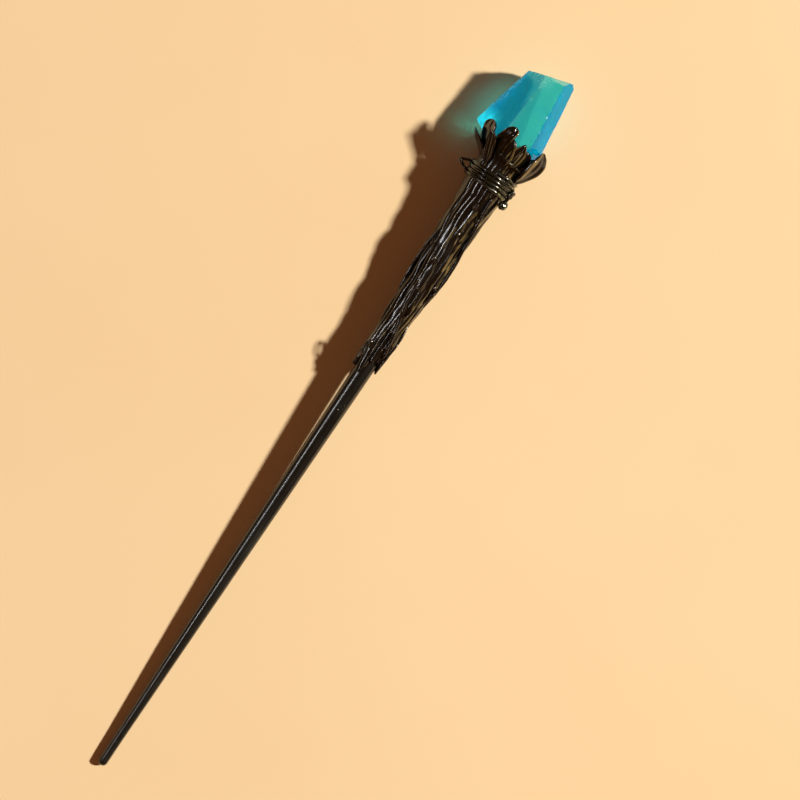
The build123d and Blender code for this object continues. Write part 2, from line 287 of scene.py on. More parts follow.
def wire_through(shell, places, radius, count, tip_share=0.15, seed=0.0, section=12):
    """Skins a tapered, slightly uneven wire through (x, angle, radius) places."""
    points = [spot(*row) for row in curve_through(places, count)]

    def radius_at(share):
        edge = min(share, 1 - share) / tip_share
        taper = math.sqrt(max(0.02, 1 - (1 - min(1.0, edge)) ** 2))
        return radius * taper * (1 + 0.22 * grain(share * 9, seed, 1.7))

    wire(shell, points, radius_at, lambda share, phi: 0.1 * radius * grain(share * 30, phi, seed),
         section)


def blob(shell, place, radius, seed, stretch=1.0):
    """Skins a small uneven bead, stretched along the wand."""
    centre = spot(*place)
    out = out_at(place[1])
    side = out.cross(ALONG)
    rings, crests = [], []
    rows, count = 12, 16
    for i in range(1, rows):
        polar = math.pi * i / rows
        ring, crest = [], []
        for k in range(count):
            phi = math.tau * k / count
            round_it = out * math.sin(phi) - side * math.cos(phi)
            way = ALONG * (-math.cos(polar)) + round_it * math.sin(polar)
            lump = 1 + 0.34 * grain(way.x * 1.9 + seed, way.y * 1.9, way.z * 1.9)
            point = centre + (way + ALONG * way.dot(ALONG) * (stretch - 1)) * (radius * lump * MM)
            ring.append(point)
            crest.append(0.5 + 0.45 * way.dot(out))
        rings.append(ring)
        crests.append(crest)
    shell.skin(rings, crests)


# ---------------------------------------------------------------- finishes

def new_group(name, inputs, outputs):
    """An empty shader group: inputs are (name, kind, value), outputs are (name, kind)."""
    group = bpy.data.node_groups.new(name, "ShaderNodeTree")
    for label, kind, value in inputs:
        socket = group.interface.new_socket(label, in_out="INPUT", socket_type=kind)
        socket.default_value = value
    for label, kind in outputs:
        group.interface.new_socket(label, in_out="OUTPUT", socket_type=kind)
    return group


MIX_SOCKETS = (0, 6, 7)   # of a colour mix: the share, and the two colours
PLAIN_ROUGHNESS = 0.5     # the noise node's own value


class Nodes:
    """Short ways to add and join the nodes of one tree."""

    def __init__(self, tree):
        self.tree = tree

    def add(self, kind, **settings):
        node = self.tree.nodes.new(kind)
        for label, value in settings.items():
            setattr(node, label, value)
        return node

    def join(self, source, target):
        self.tree.links.new(source, target)

    def give(self, value, socket):
        """Joins another node's output to this socket, or sets the number or colour on it."""
        if isinstance(value, bpy.types.NodeSocket):
            self.join(value, socket)
        elif socket.type == "RGBA":
            socket.default_value = (*value, 1.0)
        else:
            socket.default_value = value

    def fill(self, node, **values):
        for label, value in values.items():
            self.give(value, node.inputs[label.replace("_", " ")])
        return node

    def sum(self, operation, *values):
        node = self.add("ShaderNodeMath", operation=operation)
        for socket, value in zip(node.inputs, values):
            self.give(value, socket)
        return node.outputs[0]

    def noise(self, vector, scale, detail=4.0, roughness=0.55, distortion=0.0):
        node = self.add("ShaderNodeTexNoise")
        self.fill(node, Vector=vector, Scale=scale, Detail=detail)
        self.fill(node, Roughness=roughness, Distortion=distortion)
        return node.outputs["Fac"]

    def ramp(self, value, low, high, bottom=0.0, top=1.0):
        node = self.add("ShaderNodeMapRange")
        self.fill(node, Value=value, From_Min=low, From_Max=high, To_Min=bottom, To_Max=top)
        return node.outputs["Result"]

    def mix(self, share, first, second):
        node = self.add("ShaderNodeMix", data_type="RGBA")
        for index, value in zip(MIX_SOCKETS, (share, first, second)):
            self.give(value, node.inputs[index])
        return node.outputs[2]

    def kept(self, label):
        """A number that was kept for each point of the mesh."""
        return self.add("ShaderNodeAttribute", attribute_name=label).outputs["Fac"]

    def local(self):
        """The place on the piece."""
        return self.add("ShaderNodeTexCoord").outputs["Object"]

    def stretched(self, vector, scale):
        node = self.add("ShaderNodeMapping")
        self.join(vector, node.inputs["Vector"])
        node.inputs["Scale"].default_value = scale
        return node.outputs["Vector"]

    def place(self, group, **values):
        node = self.add("ShaderNodeGroup")
        node.node_tree = group
        return self.fill(node, **values)


def crest_rub_and_sheen_group():
    """Where handling and dry brushing touch: the crests, broken up by grain. The extra on the side
    towards the front right, where the key light falls, is a painted sunlit sheen."""
    group = new_group(
        "crest rub",
        [
            ("Amount", "NodeSocketFloat", 0.5),
            ("Grain Scale", "NodeSocketFloat", 400.0),
            ("Side Bias", "NodeSocketFloat", 0.5),
        ],
        [("Mask", "NodeSocketFloat")],
    )
    n = Nodes(group)
    given = n.add("NodeGroupInput").outputs
    made = n.add("NodeGroupOutput").inputs
    crest = n.kept("crest")
    where = n.local()
    along = n.stretched(where, (0.3, 1.0, 1.0))
    speckle = n.noise(along, given["Grain Scale"], 6.0, PLAIN_ROUGHNESS)
    patches = n.noise(n.stretched(where, (0.4, 1.0, 1.0)), 110.0, 4.0)
    across = n.add("ShaderNodeSeparateXYZ")
    n.join(where, across.inputs[0])
    # 1 on the -Y side, where the key light falls: the extra rub this adds there is a painted sunlit
    # sheen.
    towards = n.ramp(across.outputs["Y"], 0.003, -0.008)
    reach = n.sum("ADD", n.ramp(crest, 0.74, 1.0), n.ramp(patches, 0.35, 0.75, -0.30, 0.20))
    reach = n.sum("ADD", reach, n.ramp(speckle, 0.3, 0.7, -0.35, 0.35))
    reach = n.sum("ADD", reach, n.sum("MULTIPLY", n.sum("SUBTRACT", towards, 0.7), given["Side Bias"]))
    mask = n.ramp(reach, 0.55, 0.95)
    n.join(n.sum("MULTIPLY", mask, given["Amount"]), made["Mask"])
    return group


def fine_relief_group():
    """Brush marks and pits: a height for the bump, and how they vary the gloss."""
    group = new_group(
        "fine relief",
        [
            ("Lengthwise Scale", "NodeSocketFloat", 90.0),
            ("Pit Scale", "NodeSocketFloat", 900.0),
            ("Gloss", "NodeSocketFloat", 0.18),
            ("Gloss Range", "NodeSocketFloat", 0.2),
        ],
        [("Height", "NodeSocketFloat"), ("Roughness", "NodeSocketFloat")],
    )
    n = Nodes(group)
    given = n.add("NodeGroupInput").outputs
    made = n.add("NodeGroupOutput").inputs
    where = n.local()
    along = n.stretched(where, (0.18, 1.6, 1.6))
    brush = n.noise(along, given["Lengthwise Scale"], 6.0, PLAIN_ROUGHNESS)
    pits = n.noise(where, given["Pit Scale"], 3.0, PLAIN_ROUGHNESS)
    height = n.sum("ADD", brush, n.sum("MULTIPLY", pits, 0.35))
    spread = n.ramp(brush, 0.3, 0.7)
    rough = n.sum("ADD", given["Gloss"], n.sum("MULTIPLY", spread, given["Gloss Range"]))
    n.join(height, made["Height"])
    n.join(rough, made["Roughness"])
    return group


def dust_group():
    """A thin film of dust: in the grooves and on what faces up."""
    group = new_group(
        "dust film",
        [("Amount", "NodeSocketFloat", 0.1), ("Patch Scale", "NodeSocketFloat", 120.0)],
        [("Mask", "NodeSocketFloat")],
    )
    n = Nodes(group)
    given = n.add("NodeGroupInput").outputs
    made = n.add("NodeGroupOutput").inputs
    where = n.local()
    patch = n.noise(where, given["Patch Scale"], 6.0, PLAIN_ROUGHNESS)
    facing = n.add("ShaderNodeSeparateXYZ")
    n.join(n.add("ShaderNodeNewGeometry").outputs["Normal"], facing.inputs[0])
    up = n.ramp(facing.outputs["Z"], 0.0, 1.0)
    mask = n.sum("MULTIPLY", n.ramp(patch, 0.42, 0.75), up)
    n.join(n.sum("MULTIPLY", mask, given["Amount"]), made["Mask"])
    return group


CREST_RUB_AND_SHEEN = crest_rub_and_sheen_group()
FINE_RELIEF = fine_relief_group()
DUST = dust_group()
DUST_COLOUR = (0.32, 0.29, 0.25)


def new_finish(name):
    """A material with one Principled shader, and its nodes."""
    material = bpy.data.materials.new(name)
    material.use_nodes = True
    tree = material.node_tree
    return material, Nodes(tree), tree.nodes["Principled BSDF"]


def bump(n, shader, height, strength, distance):
    node = n.add("ShaderNodeBump")
    node.inputs["Strength"].default_value = strength
    node.inputs["Distance"].default_value = distance
    n.join(height, node.inputs["Height"])
    n.join(node.outputs["Normal"], shader.inputs["Normal"])


def sculpt_finish(name, warm, rub, rub_and_sheen_amount, sunlit_sheen_bias, gloss):
    """Gloss black paint over a sculpted piece, with warm patches, dry-brushed on its crests, and a
    painted sunlit sheen on the crests of its lit side.
    """
    material, n, shader = new_finish(name)
    where = n.local()
    rub_and_sheen = n.place(CREST_RUB_AND_SHEEN, Amount=rub_and_sheen_amount, Grain_Scale=650.0, Side_Bias=sunlit_sheen_bias)
    relief = n.place(FINE_RELIEF, Lengthwise_Scale=140.0, Pit_Scale=1100.0, Gloss=gloss,
                     Gloss_Range=0.16)
    dust = n.place(DUST, Amount=0.010, Patch_Scale=180.0)
    paint = n.mix(n.ramp(n.noise(where, 130.0, 5.0), 0.35, 0.7), BLACK_PAINT, warm)
    # The gold tint is the dry-brushed rub and, on the lit side, a painted sunlit sheen.
    tint = n.mix(n.ramp(n.noise(where, 240.0, 3.0), 0.35, 0.65), rub, [part * RUB_SHADE for part in rub])
    colour = n.mix(rub_and_sheen.outputs["Mask"], paint, tint)
    colour = n.mix(dust.outputs["Mask"], colour, DUST_COLOUR)
    n.join(colour, shader.inputs["Base Color"])
    n.join(n.sum("MULTIPLY", rub_and_sheen.outputs["Mask"], 0.75), shader.inputs["Metallic"])
    rough = n.sum("ADD", relief.outputs["Roughness"], n.sum("MULTIPLY", dust.outputs["Mask"], 1.5))
    rough = n.sum("ADD", rough, n.sum("MULTIPLY", rub_and_sheen.outputs["Mask"], 0.12))
    n.join(rough, shader.inputs["Roughness"])
    shader.inputs["Coat Weight"].default_value = 0.3
    shader.inputs["Coat Roughness"].default_value = 0.08
    shader.inputs["IOR"].default_value = 1.52
    bump(n, shader, relief.outputs["Height"], 0.25, 0.0003)
    return material


def lacquer_finish():
    """Black lacquer on turned wood: faint grain, a blue-green sheen painted into the colour as random
    patches, and streaks worn by rubbing.
    """
    material, n, shader = new_finish("black_lacquer")
    where = n.local()
    relief = n.place(FINE_RELIEF, Lengthwise_Scale=70.0, Pit_Scale=1500.0, Gloss=0.2,
                     Gloss_Range=0.16)
    dust = n.place(DUST, Amount=0.012, Patch_Scale=90.0)
    streaks = n.noise(n.stretched(where, (0.05, 3.0, 3.0)), 220.0, 4.0)
    # Blue-green patches: a painted sheen.
    painted_sheen = n.mix(n.ramp(n.noise(where, 45.0, 3.0), 0.35, 0.65), LACQUER_BLACK, LACQUER_PAINTED_SHEEN)
    worn = n.mix(n.ramp(streaks, 0.60, 0.80, 0.0, 0.3), painted_sheen, LACQUER_WORN)
    colour = n.mix(dust.outputs["Mask"], worn, DUST_COLOUR)
    n.join(colour, shader.inputs["Base Color"])
    rough = n.sum("ADD", relief.outputs["Roughness"], n.ramp(streaks, 0.55, 0.8, 0.0, 0.14))
    n.join(n.sum("ADD", rough, dust.outputs["Mask"]), shader.inputs["Roughness"])
    shader.inputs["Coat Weight"].default_value = 0.35
    shader.inputs["Coat Roughness"].default_value = 0.14
    bump(n, shader, relief.outputs["Height"], 0.22, 0.0002)
    return material


def stone_finish():
    """Rough aqua stone: milky teal at its heart, deeper blue where it leans away (painted shade),
    emission and a bright cyan patch at its lower left (painted glowing light, though it is no lamp), a
    pale patch on its end facet (painted reflection of the table), and frosted chips.
    """
    material, n, shader = new_finish("aqua_stone")
    where = n.local()
    frost = n.kept("frost")
    blue = n.kept("blue")
    glow = n.kept("glow")
    clouds = n.noise(where, 90.0, 4.0, 0.6, 0.8)
    streaks = n.noise(n.stretched(where, (0.35, 1.0, 1.0)), 260.0, 5.0, 0.65, 0.5)
    speckle = n.noise(where, 1300.0, 4.0, 0.7)
    zone = n.sum("ADD", blue, n.ramp(clouds, 0.3, 0.7, -0.16, 0.16))
    # Painted shade: facets that lean to either side turn deeper blue than the teal top.
    body = n.mix(n.ramp(zone, 0.0, 1.0), STONE_TEAL, STONE_SIDE_SHADE_BLUE)
    body = n.mix(n.sum("MULTIPLY", blue, n.ramp(streaks, 0.35, 0.65, 0.0, 0.6)), body, STONE_PAINTED_DEEP_SHADE)
    # Painted glowing light: bright cyan at the stone's lower left, standing in for light that passes
    # through it.
    body = n.mix(glow, body, STONE_PAINTED_GLOW)
    pale = n.kept("pale")
    # Painted reflection: the end facet turns pale cream, as if mirroring the table.
    body = n.mix(pale, body, STONE_PAINTED_TABLE_REFLECTION)
    chipped = n.sum("MULTIPLY", frost, n.ramp(speckle, 0.38, 0.60))
    colour = n.mix(n.sum("MULTIPLY", chipped, 0.6), body, STONE_FROST)
    n.join(colour, shader.inputs["Base Color"])
    rough = n.sum("ADD", n.ramp(clouds, 0.3, 0.7, 0.06, 0.18), n.sum("MULTIPLY", chipped, 0.45))
    n.join(rough, shader.inputs["Roughness"])
    shader.inputs["Transmission Weight"].default_value = 0.62
    shader.inputs["IOR"].default_value = 1.27
    shader.inputs["Specular IOR Level"].default_value = 0.15
    # Painted glowing light: the stone is no lamp, yet it emits teal and blue all over and cyan at its
    # lower left.
    shader.inputs["Emission Strength"].default_value = 0.5
    painted_inner_glow = n.mix(n.ramp(zone, 0.0, 1.0), STONE_TEAL_PAINTED_GLOW, STONE_BLUE_PAINTED_GLOW)
    n.join(n.mix(glow, painted_inner_glow, STONE_PAINTED_GLOW), shader.inputs["Emission Color"])
    height = n.sum("ADD", n.sum("MULTIPLY", streaks, 0.6), n.sum("MULTIPLY", chipped, 0.9))
    bump(n, shader, height, 0.25, 0.0004)
    return material


def filler_finish():
    """Dark putty that shows only in the gaps."""
    material, n, shader = new_finish("filler")
    where = n.local()
    relief = n.place(FINE_RELIEF, Lengthwise_Scale=300.0, Pit_Scale=1400.0, Gloss=0.45,
                     Gloss_Range=0.3)
    mottle = n.ramp(n.noise(where, 300.0, 5.0), 0.35, 0.65)
    n.join(n.mix(mottle, PUTTY_DARK, PUTTY_BROWN), shader.inputs["Base Color"])
    n.join(relief.outputs["Roughness"], shader.inputs["Roughness"])
    bump(n, shader, relief.outputs["Height"], 0.6, 0.0004)
    return material


BLACK_PAINT = (0.0018, 0.0018, 0.0020)
BROWN_PAINT = (0.0036, 0.0024, 0.0016)
BRONZE_PAINT = (0.0110, 0.0055, 0.0025)
OLIVE_PAINT = (0.0080, 0.0090, 0.0050)
RUB_SHADE = 0.45          # the darker patches of the gold tint for the dry-brushed rub and painted sheen, as a share of it
LACQUER_BLACK = (0.0022, 0.0026, 0.0030)
# A painted sheen, in random patches:
LACQUER_PAINTED_SHEEN = (0.0030, 0.0060, 0.0060)
LACQUER_WORN = (0.020, 0.014, 0.008)
PUTTY_DARK = (0.006, 0.006, 0.006)
PUTTY_BROWN = (0.022, 0.018, 0.014)
# Gold tints, for the dry-brushed rub and the painted sunlit sheen:
OLD_GOLD = (0.50, 0.38, 0.16)
GREEN_GOLD = (0.50, 0.52, 0.24)
STONE_TEAL = (0.040, 0.440, 0.470)
# Painted shade for the facets that lean aside, the next two colours:
STONE_SIDE_SHADE_BLUE = (0.000, 0.265, 0.540)
STONE_PAINTED_DEEP_SHADE = (0.000, 0.190, 0.300)
# Painted glowing light, at the stone's lower left:
STONE_PAINTED_GLOW = (0.030, 0.700, 0.820)
# Painted reflection of the cream table, for the end facet:
STONE_PAINTED_TABLE_REFLECTION = (0.520, 0.640, 0.540)
# Painted glowing light, emitted all over the stone:
STONE_TEAL_PAINTED_GLOW = (0.010, 0.200, 0.180)
STONE_BLUE_PAINTED_GLOW = (0.000, 0.180, 0.350)
STONE_FROST = (0.50, 0.90, 0.92)
strand_paint = sculpt_finish("gloss_black_sculpt", BROWN_PAINT, OLD_GOLD, 0.45, 0.55, 0.10)
petal_paint = sculpt_finish("petal_bronze", BRONZE_PAINT, OLD_GOLD, 0.45, 0.60, 0.12)
# The cord's green-gold on its lit side is mostly a painted sunlit sheen.
cord_paint = sculpt_finish("tinted_cord", OLIVE_PAINT, GREEN_GOLD, 0.95, 1.30, 0.12)
lacquer = lacquer_finish()
stone = stone_finish()
filler = filler_finish()

SCULPT_SLOT = "gloss_black_sculpt"
CORD_SLOT = "tinted_cord"


# ---------------------------------------------------------------- shaft

DRIP_X = 182.0
SHAFT_POINTS = 40         # round the shaft
SHAFT_STEP = 1.2          # along it, from ring to ring
TIP_RINGS = 8
TAPER_START = 14.0


def make_shaft():
    """The lacquered dowel: a hand-sanded taper, a rounded tip and a curl of dripped lacquer."""
    shell = Shell()
    rings, crests = [], []
    places = []
    for k in range(1, TIP_RINGS + 1):
        places.append(TIP_RADIUS * (1 - math.cos(math.pi / 2 * k / TIP_RINGS)))
    x = TIP_RADIUS
    while x < SHAFT_HIDDEN_END:
        x += SHAFT_STEP
        places.append(x)
    for x in places:
        share = max(0.0, (x - TAPER_START) / (GRIP_START - TAPER_START))
        radius = blend(TIP_RADIUS, SHAFT_RADIUS, min(1.0, share))
        if x < TIP_RADIUS:
            radius = math.sqrt(TIP_RADIUS**2 - (TIP_RADIUS - x) ** 2)
        ring, crest = [], []
        for k in range(SHAFT_POINTS):
            angle = 360.0 * k / SHAFT_POINTS
            turn = math.radians(angle)
            hand = 0.03 * grain(x / 16, math.cos(turn), math.sin(turn))
            hand += 0.012 * grain(x / 3.5, 2 * math.cos(turn), 2 * math.sin(turn))
            ring.append(spot(x, -angle, radius + hand * min(1.0, x / 10)))
            crest.append(0.5 + 4 * hand)
        rings.append(ring)
        crests.append(crest)
    shell.skin(rings, crests)
    drip = [
        (DRIP_X + 2.6, -24, 3.9),
        (DRIP_X + 1.2, -30, 4.05),
        (DRIP_X - 0.6, -24, 4.05),
        (DRIP_X - 1.0, -6, 4.05),
        (DRIP_X + 0.3, 2, 4.05),
        (DRIP_X + 1.0, -8, 3.95),
    ]
    wire_through(shell, drip, 0.2, 36, 0.2, 3.0)
    shell.piece("shaft_lacquered", lacquer, "black_lacquer", "shaft")


# ---------------------------------------------------------------- strands

FOOT_CAP = 4.0            # length over which a foot rounds off
POINT_CAP = 4.2           # and a claw that ends in a point
ROUND_CAP = 2.7           # and one that ends round
LEAST_SIZE = 0.04         # a strand's size at its very ends, as a share
STRAND_THICK = 2.5
CLAW_THICK = 2.0
POINT_THICKER = 1.25      # a pointed claw is this much thicker
HOOK_FROM = 0.72          # where along its reach a claw's tip starts to hook
HOOK_LENGTH = 0.28
TURN_FROM = 0.35          # and where it starts to turn sideways


def round_off(share):
    """0 to 1 along a quarter circle."""
    return math.sqrt(max(0.0, 1 - (1 - share) ** 2))


def strand_stations(name):
    """The run of one strand: its place, width and thickness at each step."""
    angle, foot, tip, tip_radius, width, claw, hook, turn, pointed = STRANDS[name]
    seed = 3.7 * int(name[-2:])
    foot += GRIP_START
    tip_cap = POINT_CAP if pointed else ROUND_CAP
    stations = []
    count = int((tip - foot) / STEP)
    for k in range(count + 1):
        x = blend(foot + 0.05, tip - 0.03, k / count)
        free = under_cord(x)
        grip = ease((WAIST_START + 2 - x) / 18)
        crown = max(0.0, (x - WAIST_END) / (tip - WAIST_END))
        middle = angle + SWAY * grip * math.sin(math.tau * (x - GRIP_START) / SWAY_LENGTH)
        middle += (7.5 * grip + 1.5 * ease(crown)) * grain(x / 17, seed)
        middle += turn * ease((crown - TURN_FROM) / (1 - TURN_FROM))
        outside = bundle_outside(x) + (0.95 * grain(x / 12, seed, 4.2) - 0.30) * grip
        if crown > 0:
            outside = blend(outside, tip_radius, ease(crown * 0.96 + 0.02) * 0.55 + crown * 0.45)
            outside -= hook * max(0.0, (crown - HOOK_FROM) / HOOK_LENGTH) ** 2
        share = bundle_outside(x) / bundle_outside(WAIST_MIDDLE)
        full = blend(width * share, claw, ease(crown * 2.2))
        full *= 1 + 0.26 * math.sin(math.pi * crown) - 0.1 * crown
        full *= 1 + 0.42 * free * grip * grain(x / 10, seed, 8.8)
        thick = blend(STRAND_THICK * (0.75 + 0.25 * share), CLAW_THICK, ease(crown))
        thick *= 1 + 0.2 * free * grain(x / 7, seed, 2.1)
        ends = round_off(min(1.0, (x - foot) / FOOT_CAP))
        thick *= POINT_THICKER if crown > 0 and pointed else 1.0
        close = min(1.0, (tip - x) / tip_cap)
        close = close**0.75 if pointed else round_off(close)
        size = max(LEAST_SIZE, ends * close)
        half_thick = thick * (0.25 + 0.75 * size) * size**0.4 / 2
        stations.append(
            (x, middle, outside - half_thick, 0.56 * full * size, half_thick, 0.0, ease(crown * 1.6))
        )
    return stations, seed


def bark(seed, amount):
    """Lengthwise furrows and small lumps, as a height over a strand."""
    def relief(x, across, high):
        free = 0.35 + 0.65 * under_cord(x)
        furrow = grain(x / 14, 1.3 * across + seed, 1.3 * high)
        lump = grain(x / 4.5, 0.8 * across + seed, 0.8 * high + 7)
        wrinkle = grain(x / 1.7, 2.2 * across + seed, 2.2 * high + 3)
        return amount * free * (0.62 * furrow + 0.34 * lump + 0.08 * wrinkle)
    return relief


for name in STRANDS:
    stations, seed = strand_stations(name)
    shell = Shell()
    bar(shell, stations, bark(seed, BARK_DEPTH), USUAL_RIM, SECTION_POINTS)
    shell.piece(name + "_root", strand_paint, SCULPT_SLOT, name)


# ---------------------------------------------------------------- petals

# Each petal: rows of (x, angle, radius, half width, half thickness, cup) along its middle.
PETALS = {
    "broad_petal": [
        (302.0, 37, 10.4, 1.6, 0.45, 0.3),
        (305.0, 38, 11.4, 2.5, 0.55, 0.5),
        (309.0, 39, 13.5, 2.9, 0.60, 0.9),
        (312.5, 40, 15.3, 2.8, 0.60, 1.0),
        (314.4, 40, 16.2, 1.9, 0.50, 0.5),
        (315.0, 40, 16.3, 0.4, 0.25, 0.1),
    ],
    "curled_petal": [
        (301.6, -74, 9.8, 2.0, 0.50, 0.2),
        (304.0, -73, 12.0, 4.2, 0.65, 1.0),
        (307.0, -72, 14.4, 5.8, 0.70, 2.2),
        (310.5, -72, 16.2, 6.6, 0.70, 3.2),
        (313.8, -71, 16.6, 6.0, 0.65, 3.0),
        (316.6, -71, 15.6, 4.2, 0.60, 1.8),
        (318.3, -71, 14.2, 1.8, 0.45, 0.6),
        (318.9, -71, 13.6, 0.4, 0.25, 0.1),
    ],
    "back_petal_left": [
        (302.2, 138, 10.4, 1.4, 0.45, 0.3),
        (305.5, 138, 12.0, 2.5, 0.55, 0.7),
        (309.5, 139, 14.8, 2.8, 0.55, 0.9),
        (312.6, 140, 16.2, 1.6, 0.45, 0.4),
        (313.4, 140, 16.4, 0.3, 0.25, 0.1),
    ],
    "back_petal_right": [
        (302.2, -141, 10.4, 1.4, 0.45, 0.3),
        (305.5, -141, 12.0, 2.5, 0.55, 0.7),
        (309.0, -140, 14.4, 2.9, 0.55, 0.9),
        (312.2, -139, 15.9, 1.6, 0.45, 0.4),
        (313.0, -139, 16.1, 0.3, 0.25, 0.1),
    ],
}
VEINS = 4
VEIN_DEPTH = 0.48
PETAL_RIM = {"curled_petal": 2.2}   # how far a petal's rim is raised, where it is not the usual


def veined(seed, depth):
    """Raised lengthwise veins over a petal's outside."""
    def relief(x, across, high):
        vein = math.cos(math.pi * VEINS * across + 0.8 * grain(x / 5, seed))
        hand = grain(x / 3, across * 2, seed)
        return depth * (0.55 * vein + 0.45 * hand) * (0.4 + 0.6 * abs(high))
    return relief


for seed, (name, rows) in enumerate(PETALS.items()):
    shell = Shell()
    count = int((rows[-1][0] - rows[0][0]) / (STEP / 1.6))
    stations = [(*row, 1.0) for row in curve_through(rows, count)]
    rim = PETAL_RIM.get(name, USUAL_RIM)
    bar(shell, stations, veined(seed, VEIN_DEPTH), rim, SECTION_POINTS * 2)
    shell.piece(name + "_shell", petal_paint, SCULPT_SLOT, name)


# ---------------------------------------------------------------- vines

# Places are (x, angle, how far the vine's middle stands above the bundle).
VINES = {
    "vine_front": [
        [(209, -42, 0.1), (213, -35, 0.4), (219, -24, 0.5), (226, -12, 0.4), (233, 2, 0.5),
         (240, 9, 0.2), (247, 12, -0.5)],
        [(222, -20, 0.3), (221.5, -10, 1.0), (220.5, -4, 1.5)],
        [(229, -7, 0.4), (229.5, -17, 1.0), (231, -24, 1.2)],
    ],
    "vine_left": [
        [(236, 88, -1.0), (242, 82, -0.1), (249, 76, 0.3), (256, 68, 0.4), (263, 60, 0.3),
         (269, 53, -0.8)],
        [(205, 34, -0.3), (207, 40, 1.0), (210, 43, 1.7), (212.6, 39, 1.5), (212.8, 31, 0.9),
         (210, 27, 0.0)],
    ],
    "vine_right": [
        [(238, -58, -0.2), (243, -70, 0.4), (250, -80, 0.6), (258, -74, 0.5), (267, -60, 0.4),
         (276, -48, 0.4), (284, -38, 0.2), (291, -33, 0.2)],
        [(280, -42, 0.2), (284, -50, 0.4), (288, -56, 0.3), (292, -60, 0.2)],
        [(235, -96, -0.8), (243, -88, 0.4), (249, -92, 0.5), (256, -100, -0.6)],
        [(202, -60, -0.3), (206, -52, 0.5), (212, -58, 0.6), (219, -68, 0.3), (227, -78, -0.9)],
    ],
    "vine_back": [
        [(217, -152, 0.0), (226, -164, 0.5), (238, -176, 0.4), (250, -186, 0.5), (262, -198, 0.4),
         (272, -206, 0.3), (280, -211, -0.3)],
        [(240, -178, 0.3), (242, -168, 0.8), (245, -161, 0.9)],
    ],
}
VINE_RADIUS = [0.78, 0.48, 0.55, 0.5]   # of each vine's main stem, then its side stems
BUD_SUNK = 0.45           # a bud's middle sits this share of its radius under the crests
BUD_STRETCH = 1.7
# Buds: x, angle, radius of the bead.
BUDS = {
    "vine_front": [(256.2, 11, 1.3), (270.8, -12, 1.0), (284.6, -10, 1.2)],
    "vine_left": [(202.6, 60, 1.1), (262.0, 48, 1.0)],
    "vine_right": [(280.0, -40, 1.1), (246.0, -62, 1.0)],
    "vine_back": [(233.0, 168, 1.1), (268.0, -150, 1.2), (206.0, 176, 1.0)],
}

for seed, (name, stems) in enumerate(VINES.items()):
    shell = Shell()
    for k, stem in enumerate(stems):
        places = [(x, angle, bundle_outside(x) + lift) for x, angle, lift in stem]
        wire_through(shell, places, VINE_RADIUS[k], 24 * len(stem), 0.16, seed + 0.3 * k)
    for k, (x, angle, radius) in enumerate(BUDS[name]):
        blob(shell, (x, angle, bundle_outside(x) - BUD_SUNK * radius), radius, seed + k, BUD_STRETCH)
    shell.piece(name + "_stem", petal_paint, SCULPT_SLOT, name)


# ---------------------------------------------------------------- binding

CORD_RADIUS = 0.88
CORD_PITCH = 1.95
CORD_TURNS = 4
CORD_LAY = 10.35
PLY_TWIST = 26.0
KNOT_ANGLE = -72
KNOT_SIZE = 0.62
KNOT_HEIGHT = 0.45
KNOT_CORD_RADIUS = 0.68
KNOB_RADIUS = 2.0


def make_binding():
    """Two-ply cord wound round the waist, painted over."""
    shell = Shell()
    steps = 96 * CORD_TURNS
    points = []
    for k in range(steps + 1):
        share = k / steps
        turn = 360 * (CORD_TURNS + 0.25) * share - 100
        x = WAIST_MIDDLE + CORD_PITCH * CORD_TURNS * (share - 0.5)
        x += 0.28 * grain(turn / 70, 5.0)
        lay = CORD_LAY + 0.16 * grain(turn / 40, 9.0)
        lay -= 1.0 * ease((0.02 - min(share, 1 - share)) / 0.02)
        points.append(spot(x, turn, lay))

    def ply(share, phi):
        twist = math.cos(2 * (phi - PLY_TWIST * CORD_TURNS * share))
        return 0.10 * twist + 0.07 * grain(share * 90, math.cos(phi), math.sin(phi))

    wire(shell, points, lambda share: CORD_RADIUS * (1 + 0.12 * grain(share * 22, 3.3)), ply, 16)
    shell.piece("binding_wound", cord_paint, CORD_SLOT, "binding_cord")


def make_knot():
    """A lumpy knot: the cord crosses itself three times."""
    shell = Shell()
    out = out_at(KNOT_ANGLE)
    side = out.cross(ALONG)
    centre = spot(WAIST_MIDDLE - 0.6, KNOT_ANGLE, 11.6)
    points = []
    steps = 120
    for k in range(steps + 1):
        t = math.tau * k / steps
        u = (math.sin(t) + 2 * math.sin(2 * t)) * KNOT_SIZE
        v = (math.cos(t) - 2 * math.cos(2 * t)) * KNOT_SIZE
        w = -math.sin(3 * t) * KNOT_HEIGHT
        points.append(centre + (ALONG * u + side * v + out * w) * MM)

    def lumps(share, phi):
        return 0.08 * grain(share * 60, phi)

    wire(shell, points, lambda share: KNOT_CORD_RADIUS, lumps, 12)
    shell.piece("binding_knot_tied", cord_paint, CORD_SLOT, "binding_knot")


def make_tail():
    """The cord's end, which runs back over the strands to a round knob."""
    shell = Shell()
    places = [
        (WAIST_MIDDLE - 1.6, -70, 11.5),
        (WAIST_MIDDLE - 3.2, -72, 11.3),
        (WAIST_MIDDLE - 4.8, -75, 10.9),
        (WAIST_MIDDLE - 6.2, -76, 10.7),
    ]
    wire_through(shell, places, 0.8, 30, 0.1, 2.0)
    blob(shell, (WAIST_MIDDLE - 6.3, -76, 10.9), KNOB_RADIUS, 4.0)
    shell.piece("binding_tail_knob", cord_paint, CORD_SLOT, "binding_tail")


